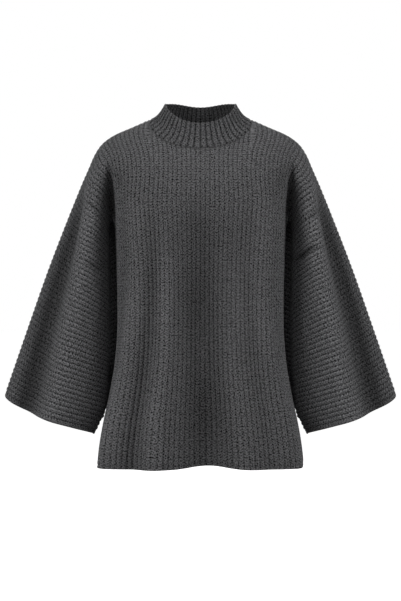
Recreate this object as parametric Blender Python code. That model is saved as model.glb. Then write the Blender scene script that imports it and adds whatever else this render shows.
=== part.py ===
"""A ribbed mock-neck sweater with kimono sleeves, hanging as it does when it is worn.

The sweater is three knitted pieces: a T-shaped front and a T-shaped back, whose ribs run
straight down the body and so run across the sleeves, and a ribbed collar band. Front and
back meet in the plane y = 0, along the shoulders and the tops of the sleeves, and along the
sides and the undersides of the sleeves. Metres, +Z up, the front faces -Y, and the origin is
in the middle of the neck, 9 mm below the points where the shoulders meet the collar.
"""

import math

import bpy
import numpy as np

# Driving sizes of the knitted cloth
RIB_PITCH = 0.010
RIBS_HALF_BODY = 26
RIBS_HALF_SPAN = 75
RIBS_COLLAR = 48
RIB_HEIGHT = 0.0020
WALL = 0.0025
SEAM_GAP = 0.0003

# Driving sizes of the garment
NECK_HALF_WIDTH = 0.101
NECK_COLUMNS = 21
SHOULDER_Z = 0.009
UNDERARM_Z = -0.178
UNDERARM_X = 0.177
HEM_Z = -0.680
HEM_LIFT = 0.007
HEM_LIFT_S = 0.019
HEM_CORNER_LIFT = 0.003
HEM_LIFT_WIDTH = 0.050
HEM_CORNER_WIDTH = 0.060
CUFF_SAG = 0.009
CUFF_SAG_FROM = 0.45
CUFF_SAG_FULL = 0.70
CREASE_TOP_Z = -0.050

HALF_BODY = RIBS_HALF_BODY * RIB_PITCH
HALF_SPAN = RIBS_HALF_SPAN * RIB_PITCH
NECK_S = NECK_COLUMNS * RIB_PITCH / 2

# The shoulder and the top of the sleeve, from the side of the neck to the cuff
TOP_LINE = {
    "x": (0.101, 0.136, 0.170, 0.194, 0.209, 0.222, 0.244, 0.299, 0.344, 0.391),
    "z": (0.009, -0.007, -0.022, -0.039, -0.060, -0.089, -0.138, -0.278, -0.405, -0.541),
}

# The underside of the sleeve, from the underarm to the cuff
UNDER_LINE = {
    "x": (0.1840, 0.184, 0.183, 0.182, 0.182, 0.184, 0.190, 0.201, 0.213),
    "z": (-0.178, -0.215, -0.260, -0.350, -0.430, -0.500, -0.560, -0.592, -0.618),
}

# The body at its sides, down from the shoulder: half its width, and how square its section is
BODY_WIDTH = {
    "z": (-0.680, -0.650, -0.590, -0.550, -0.490, -0.410, -0.350, -0.250, -0.178, 0.010),
    "half": (0.204, 0.201, 0.191, 0.182, 0.171, 0.164, 0.164, 0.167, 0.170, 0.172),
    "square": (2.9, 2.9, 2.8, 2.7, 2.6, 2.5, 2.4, 2.3, 2.3, 2.3),
}

# How far the middle of the front and of the back stand from the side seams
BODY_DEPTH = {
    "z": (-0.680, -0.580, -0.460, -0.360, -0.260, -0.170, -0.100, -0.055, -0.022, 0.010),
    "front": (0.118, 0.114, 0.107, 0.105, 0.112, 0.120, 0.106, 0.085, 0.060, 0.022),
    "back": (0.110, 0.105, 0.096, 0.090, 0.096, 0.106, 0.100, 0.084, 0.060, 0.024),
}

# Half the thickness of a sleeve
SLEEVE_DEPTH = {
    "z": (-0.680, -0.540, -0.450, -0.350, -0.250, -0.178, -0.100, 0.010),
    "half": (0.034, 0.036, 0.040, 0.044, 0.047, 0.050, 0.052, 0.052),
}
SLEEVE_BLUNT = {"under": 0.42, "top": 0.62}
FLARE_HEIGHT = 0.006
FLARE_ABOVE = 0.030
NARROWEST_SLEEVE = 0.020
BODY_INSIDE_SLEEVE_TOP = 0.030
SHOULDER_SQUARE = 2.2

# Behind the body's side a sleeve hangs in: how far, over what shares of its width, from what
# height to what, and how far clear
SLEEVE_TUCK = 0.050
TUCK_SHARES = (0.06, 0.10, 0.60)
TUCK_Z = (-0.148, -0.215, -0.560, -0.600)
BODY_CLEAR = 0.0065

# Soft folds down the body: where on the cloth, at their top and at the hem, how wide, how far
# out at the hem, and from what height. They fade out beside the side seams
FRONT_FOLDS = {
    "s_top": (0.008, -0.078, -0.125, -0.120, 0.075, 0.130, 0.118),
    "s_hem": (0.008, -0.090, -0.128, -0.188, 0.085, 0.130, 0.188),
    "width": (0.036, 0.022, 0.020, 0.022, 0.030, 0.022, 0.022),
    "out": (-0.027, 0.010, -0.007, 0.009, 0.008, -0.006, 0.009),
    "from_z": (-0.230, -0.250, -0.250, -0.120, -0.300, -0.250, -0.120),
}
BACK_FOLDS = {
    "s_top": (0.000, -0.070, 0.075, -0.130, 0.135),
    "s_hem": (0.000, -0.080, 0.085, -0.140, 0.145),
    "width": (0.026, 0.024, 0.024, 0.018, 0.018),
    "out": (-0.018, 0.009, 0.009, -0.007, -0.007),
    "from_z": (-0.280, -0.300, -0.300, -0.240, -0.240),
}

FOLD_FADES_OVER = 0.05
FOLD_GROWS_BY = 0.8

# Folds along a sleeve: where between its underside (0) and its top (1), how wide, how far out,
# and between what heights they grow
SLEEVE_FOLDS = {
    "at": (0.73, 0.48),
    "width": (0.10, 0.10),
    "out": (-0.009, 0.005),
}
SLEEVE_FOLD_Z = (-0.10, -0.24)

# The collar, from the neckline to the rim: how far along its height, how far up, how far in
COLLAR_PROFILE = {
    "share": (0.00, 0.28, 0.52, 0.76, 1.00),
    "up": (0.00, 0.25, 0.49, 0.74, 1.00),
    "inward": (0.00, 0.41, 0.64, 0.81, 1.00),
}
RIM_HALF_WIDTH = 0.068
RIM_DEPTH = {"front": 0.058, "back": 0.060}
NECK_DEPTH = {"front": 0.082, "back": 0.068}
NECK_DROP = {"front": 0.061, "back": 0.016}
NECK_SQUARE = 2.2
NECK_KEEN = 0.9
RIM_Z = {"front": -0.002, "side": 0.041, "back": 0.0415}
RIM_HUMP = {"front": 0.0, "back": 0.0045}
SEAM_FACES_UP = math.radians(40)
RIM_TURN = {"front": 1.2, "back": 0.7}

# Where the crease between body and sleeve lies in the cloth, by column and share of its length
CREASE = {
    "column": (40, 41, 42, 43, 44, 45, 46, 47, 48, 49, 50, 51, 52),
    "row": (0.237, 0.295, 0.35, 0.40, 0.447, 0.495, 0.54, 0.60, 0.665, 0.735, 0.813, 0.905, 1.0),
}

# How finely the solids are cut. Rows are shares of a column's length above the underarm, plus
# those below it; only the cloth beside the crease has them all. Below its top edge the cloth
# settles into its sections over a short height
COLUMNS_PER_RIB = 2
FINE_COLUMNS = (38, 54)
SETTLES_OVER = 0.07
UPPER_ROWS = (0.0, 0.06, 0.15, *CREASE["row"])
BODY_ROWS = (0, 1, 4, 8, 12, 15)
SLEEVE_ROWS = (0, 1, 5, 10, 13, 14, 15)
LOWER_ROWS = (1.06, 1.28, 1.52, 1.76, 2.0)
INNER_COLUMNS = (
    *range(0, 16, 2), *range(16, 23), *range(24, 37, 4), *range(38, 56), *range(58, 147, 4), 150
)
INNER_LOW_COLUMNS = (0, 2, 4, 8, 12, 16, 20, 24, 28, 32, 36, 40, 44, 48, 52)
COLUMNS_PER_INNER = 4
SAMPLES = 129


def smoothstep(t):
    t = np.clip(t, 0.0, 1.0)
    return t * t * (3 - 2 * t)


def smooth_through(at, xs, ys):
    """A cubic curve through the points (xs, ys), whose slope at each is the mean of its neighbours'."""
    xs, ys = np.asarray(xs, float), np.asarray(ys, float)
    if xs[0] > xs[-1]:
        xs, ys = xs[::-1], ys[::-1]
    slopes = np.gradient(ys, xs)
    at = np.clip(at, xs[0], xs[-1])
    k = np.clip(np.searchsorted(xs, at) - 1, 0, len(xs) - 2)
    step = xs[k + 1] - xs[k]
    t = (at - xs[k]) / step
    return (
        (2 * t**3 - 3 * t**2 + 1) * ys[k]
        + (t**3 - 2 * t**2 + t) * step * slopes[k]
        + (3 * t**2 - 2 * t**3) * ys[k + 1]
        + (t**3 - t**2) * step * slopes[k + 1]
    )


def measured_line(line, first, last):
    """A line's points and, at each, the cloth's distance from the middle, first to last."""
    knots = np.arange(len(line["x"]))
    fine = np.linspace(0, knots[-1], 400)
    x = smooth_through(fine, knots, line["x"])
    z = smooth_through(fine, knots, line["z"])
    run = np.concatenate([[0], np.cumsum(np.hypot(np.diff(x), np.diff(z)))])
    return x, z, first + (last - first) * run / run[-1]


TOP_X, TOP_Z, TOP_S = measured_line(TOP_LINE, NECK_S, HALF_SPAN)
UNDER_X, UNDER_Z, UNDER_S = measured_line(UNDER_LINE, HALF_BODY, HALF_SPAN)
BEYOND = 0.10
TOP_SLOPE = (TOP_X[-1] - TOP_X[-9]) / (TOP_Z[-1] - TOP_Z[-9])
TOP_X = np.append(TOP_X, TOP_X[-1] - BEYOND * TOP_SLOPE)
TOP_Z = np.append(TOP_Z, TOP_Z[-1] - BEYOND)
TOP_S = np.append(TOP_S, TOP_S[-1] + BEYOND * math.hypot(1, TOP_SLOPE))


def at_height(z, line_z, values):
    """What a falling line's table says at height z."""
    return np.interp(-z, -line_z, values)


def body_round(half, depth, square, flare):
    """Half a body section: x from 0 to its side, and y from its depth to 0. It flares at the seam."""
    a = np.linspace(0, math.pi / 2, 400)
    x = half * np.sin(a) ** (2 / square)
    y = depth * np.maximum(np.cos(a), 0) ** (2 / square)
    return x + flare * np.exp(-((y / FLARE_HEIGHT) ** 2)), y


def sleeve_round(inner, outer, depth, flare):
    """Half a sleeve section, from its underside to its top: blunt below, keener along the top."""
    share = (1 - np.cos(np.linspace(0, math.pi, 400))) / 2
    a, b = SLEEVE_BLUNT["under"], SLEEVE_BLUNT["top"]
    most = a / (a + b)
    y = depth * (share / most) ** a * ((1 - share) / (1 - most)) ** b
    flared = flare * np.exp(-((y / FLARE_HEIGHT) ** 2)) * (share < most)
    return inner + (outer - inner) * share - flared, y


def evenly(x, y):
    """The section's points at even distances along it, and its length."""
    run = np.concatenate([[0], np.cumsum(np.hypot(np.diff(x), np.diff(y)))])
    at = np.linspace(0, run[-1], SAMPLES)
    return np.stack([np.interp(at, run, x), np.interp(at, run, y)], axis=-1), run[-1]


LEVELS = np.linspace(SHOULDER_Z, HEM_Z, 240)


def sections(side):
    """The body's and the sleeve's section at each level, and how much of their length is the body's.

    Below the underarm they're two closed tubes. Above it they run into each other, and the slot
    between them grows shallower and is gone at the crease's top: y = (1 - w) shoulder + w tubes.
    """
    body, sleeve, share = [], [], []
    for z in LEVELS:
        depth = float(smooth_through(z, BODY_DEPTH["z"], BODY_DEPTH[side]))
        half = float(smooth_through(z, BODY_WIDTH["z"], BODY_WIDTH["half"]))
        square = float(smooth_through(z, BODY_WIDTH["z"], BODY_WIDTH["square"]))
        thick = float(smooth_through(z, SLEEVE_DEPTH["z"], SLEEVE_DEPTH["half"]))
        outer = float(at_height(z, TOP_Z, TOP_X))
        inner = float(at_height(z, UNDER_Z, UNDER_X))
        creased = float(smoothstep((CREASE_TOP_Z - z) / (CREASE_TOP_Z - UNDERARM_Z)))
        near = float(smoothstep((z - UNDERARM_Z + FLARE_ABOVE) / FLARE_ABOVE))
        inner = min(inner, outer - NARROWEST_SLEEVE)
        half = min(half, outer - BODY_INSIDE_SLEEVE_TOP)
        middle = min(UNDERARM_X, (inner + half) / 2)
        bx, by = body_round(half, depth, square, (middle - half) * near)
        sx, sy = sleeve_round(inner, outer, thick, (inner - middle) * near)
        if side == "back":
            sx = tucked_in(sx, sy, z, inner, outer, half, depth, square)
        by = by * creased + (1 - creased) * shoulder_height(bx, outer, depth)
        sy = sy * creased + (1 - creased) * shoulder_height(sx, outer, depth)
        points, body_length = evenly(bx, by)
        body.append(points)
        points, sleeve_length = evenly(sx, sy)
        sleeve.append(points)
        share.append(body_length / (body_length + sleeve_length))
    return np.array(body), np.array(sleeve), np.array(share)


def tucked_in(x, y, z, inner, outer, half, depth, square):
    """A sleeve's section, drawn in behind the body's side but clear of it."""
    top, full, still, low = TUCK_Z
    here = smoothstep((top - z) / (top - full)) * smoothstep((z - low) / (still - low))
    share = (x - inner) / (outer - inner)
    grown, fading, gone = TUCK_SHARES
    drawn = smoothstep(share / grown) * (1 - smoothstep((share - fading) / (gone - fading)))
    side_x = half * np.clip(1 - (y / depth) ** square, 0, 1) ** (1 / square) + BODY_CLEAR
    return np.maximum(x - SLEEVE_TUCK * here * drawn, np.minimum(side_x, x))


def shoulder_height(x, reach, depth):
    """How far out the uncreased shoulder stands at x: depth (1 - (x / reach)^p)^(1/2)."""
    return depth * np.sqrt(np.clip(1 - (x / reach) ** SHOULDER_SQUARE, 0, 1))


SECTIONS = {side: sections(side) for side in ("front", "back")}


def look_up(table, z, share):
    """A table of sections read between its levels and its samples."""
    row = np.clip((LEVELS[0] - z) / (LEVELS[0] - LEVELS[-1]), 0, 1) * (len(LEVELS) - 1)
    column = np.clip(share, 0, 1) * (SAMPLES - 1)
    i = np.clip(row.astype(int), 0, len(LEVELS) - 2)
    j = np.clip(column.astype(int), 0, SAMPLES - 2)
    u, v = (row - i)[..., None], (column - j)[..., None]
    return (1 - u) * ((1 - v) * table[i, j] + v * table[i, j + 1]) + u * (
        (1 - v) * table[i + 1, j] + v * table[i + 1, j + 1]
    )


def displaced(table, z, share, out):
    """A point of a section, moved out along the section's own normal."""
    step = 0.004
    along = look_up(table, z, share + step) - look_up(table, z, share - step)
    length = np.maximum(np.linalg.norm(along, axis=-1, keepdims=True), 1e-9)
    normal = np.stack([-along[..., 1], along[..., 0]], axis=-1) / length
    return look_up(table, z, share) + normal * out[..., None]


def body_fold(s, z, side):
    """How far the folds of the front or the back move its cloth out."""
    folds = FRONT_FOLDS if side == "front" else BACK_FOLDS
    out = np.zeros_like(s + z)
    for top, hem, width, depth, from_z in zip(
        *(folds[k] for k in ("s_top", "s_hem", "width", "out", "from_z"))
    ):
        down = np.clip((from_z - z) / (from_z - HEM_Z), 0, 1)
        at = top + (hem - top) * down
        out += depth * smoothstep(down) ** FOLD_GROWS_BY * np.exp(-(((s - at) / width) ** 2))
    return out * smoothstep((HALF_BODY - np.abs(s)) / FOLD_FADES_OVER)


def sleeve_fold(share, z):
    """How far the folds of a sleeve move its cloth out. share is 0 at the underside."""
    out = np.zeros_like(share + z)
    for at, width, depth in zip(*(SLEEVE_FOLDS[k] for k in ("at", "width", "out"))):
        out += depth * np.exp(-(((share - at) / width) ** 2))
    start, full = SLEEVE_FOLD_Z
    return out * smoothstep((start - z) / (start - full))


def neckline(x, side):
    """The neckline at x: the ellipse-like curve y = Y r^0.9, z = Z - D r, r = (1 - (x/X)^2.2)^0.5."""
    out = np.clip(x / NECK_HALF_WIDTH, 0, 1)
    rise = np.sqrt(1 - out**NECK_SQUARE)
    return x, NECK_DEPTH[side] * rise**NECK_KEEN, SHOULDER_Z - NECK_DROP[side] * rise


def top_of(s, side):
    """Where the column s of the cloth starts: on the neckline, or on the shoulder or sleeve top."""
    neck_x, neck_y, neck_z = neckline(s * NECK_HALF_WIDTH / NECK_S, side)
    on_neck = s <= NECK_S
    return (
        np.where(on_neck, neck_x, np.interp(s, TOP_S, TOP_X)),
        np.where(on_neck, neck_y, 0.0),
        np.where(on_neck, neck_z, np.interp(s, TOP_S, TOP_Z)),
    )


def crease_heights():
    """The height and the column of the cloth at points down the crease."""
    s = np.array(CREASE["column"]) * RIB_PITCH / COLUMNS_PER_RIB
    top_z = np.interp(s, TOP_S, TOP_Z)
    return top_z + (UNDERARM_Z - top_z) * np.array(CREASE["row"]), s


CREASE_Z, CREASE_S = crease_heights()


def draped(signed_s, z, side):
    """The cloth's x and its distance from y = 0, at column s and height z."""
    s = np.abs(signed_s)
    body_table, sleeve_table, body_share = SECTIONS[side]
    s_top = at_height(z, TOP_Z, TOP_S)
    start_z, start_s = CREASE_Z[0], CREASE_S[0]
    start = start_s / at_height(start_z, TOP_Z, TOP_S) - at_height(start_z, LEVELS, body_share)
    uncreased = at_height(z, LEVELS, body_share) + start * smoothstep(z / start_z)
    above = np.where(z > start_z, s_top * uncreased, at_height(z, CREASE_Z, CREASE_S))
    s_crease = np.where(z > UNDERARM_Z, above, at_height(z, UNDER_Z, UNDER_S))
    edge = np.minimum(s_crease, HALF_BODY)
    on_body = displaced(body_table, z, s / edge, body_fold(signed_s, z, side))
    share = np.clip((s - s_crease) / np.maximum(s_top - s_crease, 1e-4), 0, 1)
    on_sleeve = displaced(sleeve_table, z, share, sleeve_fold(share, z))
    return np.where((s <= edge)[..., None], on_body, on_sleeve)


def cloth(signed_s, row, side):
    """Points of the front or back, with y counted away from the seams. row is 0 at the top edge,
    1 at the underarm's level or at the sleeve's underside, and 2 at the hem."""
    s = np.minimum(np.abs(signed_s), np.where(row > 1, HALF_BODY, HALF_SPAN + RIB_PITCH))
    signed_s = np.where(signed_s < 0, -s, s)
    top_x, top_y, top_z = top_of(s, side)
    bottom = np.where(s <= HALF_BODY, UNDERARM_Z, np.interp(s, UNDER_S, UNDER_Z))
    upper_z = top_z + (bottom - top_z) * row
    sagging = smoothstep((s - CUFF_SAG_FROM) / (CUFF_SAG_FULL - CUFF_SAG_FROM))
    sag = CUFF_SAG * 4 * np.clip(row * (1 - row), 0, 1) * sagging
    lift = HEM_LIFT * np.exp(-(((signed_s - HEM_LIFT_S) / HEM_LIFT_WIDTH) ** 2)) * (side == "front")
    lift += HEM_CORNER_LIFT * smoothstep(1 - (HALF_BODY - s) / HEM_CORNER_WIDTH)
    lower_z = UNDERARM_Z + (HEM_Z + lift - UNDERARM_Z) * (row - 1)
    z = np.where(row > 1, lower_z, upper_z)
    flat = draped(np.where(signed_s < 0, -1, 1) * (s + sag), z, side)
    at_top = draped(signed_s, top_z, side)
    left_over = 1 - smoothstep((top_z - z) / SETTLES_OVER)
    x = flat[..., 0] + (top_x - at_top[..., 0]) * left_over
    y = flat[..., 1] + (top_y - at_top[..., 1]) * left_over
    return np.stack([np.where(signed_s < 0, -x, x), np.maximum(y, SEAM_GAP / 2), z], axis=-1)


def seam_normal(points):
    """The way the seam of the neckline faces: out from the neck and up, the same for both edges."""
    out = points * (1, 1, 0)
    out /= np.maximum(np.linalg.norm(out, axis=-1, keepdims=True), 1e-9)
    return out * math.cos(SEAM_FACES_UP) + np.array([0, 0, math.sin(SEAM_FACES_UP)])


def cloth_normal(signed_s, row, side):
    """The way out of the cloth, from points a little to each side. On a seam it lies in y = 0."""
    s = np.abs(signed_s)
    aside, up = 0.0015, 0.01
    across = cloth(signed_s + aside, row, side) - cloth(signed_s - aside, row, side)
    last_row = np.where(s > HALF_BODY + 1e-6, 1.0, 2.0)
    first, last = np.maximum(row - up, 0), np.minimum(row + up, last_row)
    normal = np.cross(across, cloth(signed_s, last, side) - cloth(signed_s, first, side))
    on_top = (row <= 0) & (s > NECK_S + 1e-6)
    on_under = (row == 1) & (s > HALF_BODY - 1e-6)
    on_side = (row > 1) & (s > HALF_BODY - 1e-6)
    normal[..., 1] = np.where(on_top | on_under | on_side, 0.0, normal[..., 1])
    at_underarm = (row == 1) & (np.abs(s - HALF_BODY) < 1e-6)
    normal = np.where(at_underarm[..., None], np.array([0.0, 0.0, -1.0]), normal)
    on_neck = (row <= 0) & (s < NECK_S + 1e-6)
    normal = np.where(on_neck[..., None], seam_normal(cloth(signed_s, row, side)), normal)
    return normal / np.maximum(np.linalg.norm(normal, axis=-1, keepdims=True), 1e-12)


def strip(fine, coarse):
    """Triangles between two runs of the grid's points, where every point of the second one lies
    beside a point of the first: fine is a list of (point, place), and so is coarse."""
    faces = []
    places = [place for _, place in fine]
    fine_points = [point for point, _ in fine]
    for (a, first), (b, last) in zip(coarse, coarse[1:]):
        first, last = places.index(first), places.index(last)
        middle = (first + last) // 2
        faces += [(fine_points[m + 1], fine_points[m], a) for m in range(first, middle)]
        faces.append((fine_points[middle], a, b))
        faces += [(fine_points[m + 1], fine_points[m], b) for m in range(middle, last)]
    return faces


def block(face, columns, rows):
    """Triangles of a rectangle of the grid. Their diagonals run along the crease."""
    faces = []
    for left, right in zip(columns, columns[1:]):
        for upper, lower in zip(rows, rows[1:]):
            a, b = (face, left, upper), (face, left, lower)
            c, d = (face, right, lower), (face, right, upper)
            if left >= 0:
                faces += [(a, b, c), (a, c, d)]
            else:
                faces += [(a, b, d), (b, c, d)]
    return faces


def run_down(face, column, rows):
    """A run of points down a column."""
    return [((face, column, row), row) for row in rows]


def run_across(face, columns, row):
    """A run of points across a row."""
    return [((face, column, row), column) for column in columns]


def layout(face, columns, low_columns):
    """The triangles of one face of a panel, and its edges all round as runs of points."""
    fine_rows = list(range(len(UPPER_ROWS)))
    under = fine_rows[-1]
    low_rows = [under + k for k in range(len(LOWER_ROWS) + 1)]
    first, last = FINE_COLUMNS
    both = [-c for c in columns[:0:-1]] + list(columns)
    low = [-c for c in low_columns[:0:-1]] + list(low_columns)
    centre = [c for c in both if abs(c) < first]
    parts = [
        [c for c in both if c < -last],
        [c for c in both if -last <= c <= -first],
        centre,
        [c for c in both if first <= c <= last],
        [c for c in both if c > last],
    ]
    faces = []
    rows_of = (SLEEVE_ROWS, fine_rows, BODY_ROWS, fine_rows, SLEEVE_ROWS)
    for part, rows in zip(parts, rows_of):
        faces += block(face, part, rows)
    for k in (1, 3):
        left = run_down(face, parts[k - 1][-1], rows_of[k - 1])
        right = run_down(face, parts[k + 1][0], rows_of[k + 1])
        faces += strip(run_down(face, parts[k][0], fine_rows), left)
        faces += strip(run_down(face, parts[k][-1], fine_rows)[::-1], right[::-1])
    body = [c for c in both if abs(c) <= low_columns[-1]]
    faces += strip(run_across(face, body, under), run_across(face, low, under + 1))
    faces += block(face, low, low_rows[1:])
    half_body, half_span = low_columns[-1], columns[-1]
    edges = [
        run_across(face, both[::-1], 0),
        run_down(face, -half_span, SLEEVE_ROWS),
        run_across(face, [c for c in both if c <= -half_body], under),
        run_down(face, -half_body, low_rows),
        run_across(face, low, low_rows[-1]),
        run_down(face, half_body, low_rows)[::-1],
        run_across(face, [c for c in both if c >= half_body], under),
        run_down(face, half_span, SLEEVE_ROWS)[::-1],
    ]
    return faces, edges


def panel(name, side, material):
    """The front or the back: ribs on the outer face, a plain inner face, and the edges between."""
    every = range(RIBS_HALF_SPAN * COLUMNS_PER_RIB + 1)
    faces, outer_edges = layout(0, every, range(RIBS_HALF_BODY * COLUMNS_PER_RIB + 1))
    inner_faces, inner_edges = layout(1, INNER_COLUMNS, INNER_LOW_COLUMNS)
    faces += [face[::-1] for face in inner_faces]
    for outer, inner in zip(outer_edges, inner_edges):
        faces += strip(outer, inner)
    keys = sorted({key for face in faces for key in face})
    number = {key: k for k, key in enumerate(keys)}
    face_of, column, row_of = np.array(keys).T
    s = column * RIB_PITCH / COLUMNS_PER_RIB
    row = np.array(UPPER_ROWS + LOWER_ROWS)[row_of]
    raised = np.where(face_of == 0, RIB_HEIGHT * (np.abs(column) % 2), -WALL)
    points = cloth(s, row, side) + cloth_normal(s, row, side) * raised[:, None]
    points[:, 1] = np.maximum(points[:, 1], SEAM_GAP / 2)
    faces = [tuple(number[key] for key in face) for face in faces]
    if side == "front":
        points = points * (1, -1, 1)
    else:
        faces = [face[::-1] for face in faces]
    return solid(name, points, faces, material)


def quads(ids):
    """The faces of a grid of point numbers, one row after another."""
    return [
        (ids[j][i], ids[j + 1][i], ids[j + 1][i + 1], ids[j][i + 1])
        for j in range(len(ids) - 1)
        for i in range(len(ids[0]) - 1)
    ]


def quarter_ring(curve_x, curve_y, curve_z, share):
    """Points at even shares of a curve's length, from the middle (0) to the side (1)."""
    steps = np.sqrt(np.diff(curve_x) ** 2 + np.diff(curve_y) ** 2 + np.diff(curve_z) ** 2)
    run = np.concatenate([[0], np.cumsum(steps)])
    at = share * run[-1]
    return np.stack([np.interp(at, run, c) for c in (curve_x, curve_y, curve_z)], axis=-1)


def collar_ring(share_up, turns):
    """One ring of the collar, from the neckline (0) to the rim (1), at turns of the circle."""
    quarter = np.abs((turns * 4 + 2) % 4 - 2)
    front = quarter <= 1
    share = np.where(front, quarter, 2 - quarter)
    inward = np.interp(share_up, COLLAR_PROFILE["share"], COLLAR_PROFILE["inward"])
    up = np.interp(share_up, COLLAR_PROFILE["share"], COLLAR_PROFILE["up"])
    columns = np.arange(NECK_COLUMNS + 1) * NECK_S / NECK_COLUMNS
    a = np.linspace(0, math.pi / 2, 200)
    base, rim = {}, {}
    for side in ("front", "back"):
        base[side] = quarter_ring(*top_of(columns, side), share)
        rise = np.cos(a) ** RIM_TURN[side] * (RIM_Z[side] - RIM_Z["side"])
        rise += RIM_HUMP[side] * np.sin(2 * a) ** 2
        rim[side] = quarter_ring(
            RIM_HALF_WIDTH * np.sin(a), RIM_DEPTH[side] * np.cos(a), RIM_Z["side"] + rise, share
        )
    low = np.where(front[:, None], base["front"], base["back"])
    high = np.where(front[:, None], rim["front"], rim["back"])
    ring = low + (high - low) * np.array([inward, inward, up])
    return ring * np.stack(
        [np.where(turns % 1 > 0.5, -1, 1), np.where(front, -1, 1), np.ones(len(turns))], axis=-1
    )


def collar(material):
    """The collar band: a closed ring of ribs, a plain inner face, a rim and a lower edge."""
    shares = COLLAR_PROFILE["share"]
    outer_n = RIBS_COLLAR * COLUMNS_PER_RIB
    inner_n = outer_n // COLUMNS_PER_INNER
    points, ids = [], {}
    for kind, n in (("outer", outer_n), ("inner", inner_n)):
        turns = -np.arange(n) / n
        rings = np.array([collar_ring(u, turns) for u in shares])
        around = np.roll(rings, -1, axis=1) - np.roll(rings, 1, axis=1)
        normal = np.cross(np.gradient(rings, axis=0), around)
        normal /= np.linalg.norm(normal, axis=-1, keepdims=True)
        normal[0] = seam_normal(rings[0])
        along = np.cross(normal[0], around[0])
        along /= np.linalg.norm(along, axis=-1, keepdims=True)
        raised = RIB_HEIGHT * (np.arange(n) % 2) if kind == "outer" else np.full(n, -WALL)
        rings = rings + normal * raised[None, :, None] - along * SEAM_GAP
        first = sum(len(p) for p in points)
        points.append(rings.reshape(-1, 3))
        whole = first + np.arange(len(shares) * n).reshape(len(shares), n)
        ids[kind] = np.concatenate([whole, whole[:, :1]], axis=1)
    outer, inner = ids["outer"], ids["inner"]
    faces = quads(outer) + [face[::-1] for face in quads(inner)]
    for k, way in ((0, -1), (-1, 1)):
        outer_run = list(zip(outer[k][::way], range(outer_n + 1)))
        inner_run = list(zip(inner[k][::way], range(0, outer_n + 1, COLUMNS_PER_INNER)))
        faces += strip(outer_run, inner_run)
    return solid("collar", np.concatenate(points), faces, material)


def solid(name, points, faces, material):
    """One named object from points and faces, smooth but for its sharp edges."""
    mesh = bpy.data.meshes.new(name)
    mesh.from_pydata(
        [tuple(map(float, p)) for p in points], [], [tuple(map(int, f)) for f in faces]
    )
    mesh.validate()
    mesh.materials.append(material)
    mesh.shade_smooth()
    mesh.set_sharp_from_angle(angle=math.radians(50))
    made = bpy.data.objects.new(name, mesh)
    bpy.context.scene.collection.objects.link(made)
    return made


def wool():
    """Charcoal wool: dark, neutral grey and matt."""
    material = bpy.data.materials.new("charcoal_wool")
    material.use_nodes = True
    shader = material.node_tree.nodes["Principled BSDF"]
    shader.inputs["Base Color"].default_value = (0.052, 0.052, 0.056, 1)
    shader.inputs["Roughness"].default_value = 0.95
    shader.inputs["Metallic"].default_value = 0.0
    return material


def build():
    for old in list(bpy.data.objects):
        bpy.data.objects.remove(old)
    charcoal = wool()
    panel("front", "front", charcoal)
    panel("back", "back", charcoal)
    collar(charcoal)


build()
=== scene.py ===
"""A charcoal mock-neck sweater in a heavy rib knit, filled out as it is when it is worn.

Metres, +Z up, the front faces -Y. Every point of the cloth is found from two numbers: s, how far
it lies from the middle across the flat cloth, and row, how far down a rib it lies.
"""

import math

import bpy
import numpy as np
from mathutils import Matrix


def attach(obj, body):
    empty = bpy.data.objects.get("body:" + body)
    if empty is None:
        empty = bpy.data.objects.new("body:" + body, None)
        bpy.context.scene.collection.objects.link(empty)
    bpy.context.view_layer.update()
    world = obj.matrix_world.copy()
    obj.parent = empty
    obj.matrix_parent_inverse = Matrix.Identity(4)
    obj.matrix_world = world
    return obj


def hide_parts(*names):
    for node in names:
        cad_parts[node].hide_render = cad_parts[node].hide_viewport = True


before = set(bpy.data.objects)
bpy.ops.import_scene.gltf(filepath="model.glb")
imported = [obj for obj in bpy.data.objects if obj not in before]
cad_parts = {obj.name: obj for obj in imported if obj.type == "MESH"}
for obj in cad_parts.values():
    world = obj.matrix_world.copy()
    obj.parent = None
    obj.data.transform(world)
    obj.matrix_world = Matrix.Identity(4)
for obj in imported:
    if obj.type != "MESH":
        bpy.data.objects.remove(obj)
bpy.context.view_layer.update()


# ---------------------------------------------------------------------------------------------
# The front: a T-shaped panel of charcoal wool in 150 ribs, which run down the body and fall round
# the sleeves, cut in one with it. It is linked to the back, which the same functions make below.
# Part of its shading is painted: its colour is multiplied by painted shade in the folds and along
# the neckline, and by painted highlight on the folds' ridges and along the body's sides.

RIB_PITCH = 0.010
RIBS_HALF_BODY = 26
RIBS_HALF_SPAN = 75
RIB_HEIGHT = 0.0024
RIB_ROUNDNESS = 0.50
INSIDE_RIB = 0.6
WALL = 0.0025
SEAM_GAP = 0.00002
SEAM_SINKS = 0.0014
SEAM_WIDTH = 0.005
SEAM_SHADE = 0.45
SLEEVE_RIB_LESS = 0.32
SLEEVE_RIB_OVER = 0.05
SIDE_PAINTED_HIGHLIGHT = {"more": 0.9, "width": 0.014, "fades_over": 0.4}
COLUMNS_PER_RIB = 6
ROWS_ABOVE = 34
ROWS_BELOW = 51
HEM_ROWS_FROM = 1.980
HEM_ROWS = (1.985, 1.9885, 1.992, 1.996, 2.0)
EDGE_GROOVE = {"from_edge": 0.0055, "width": 0.0018, "depth": 0.0014}
EDGE_WIDTH = 0.006
EDGE_RIB = 0.55
BESIDE = 0.0015
ROW_BESIDE = 0.01
ON_LINE = 1e-6

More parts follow.
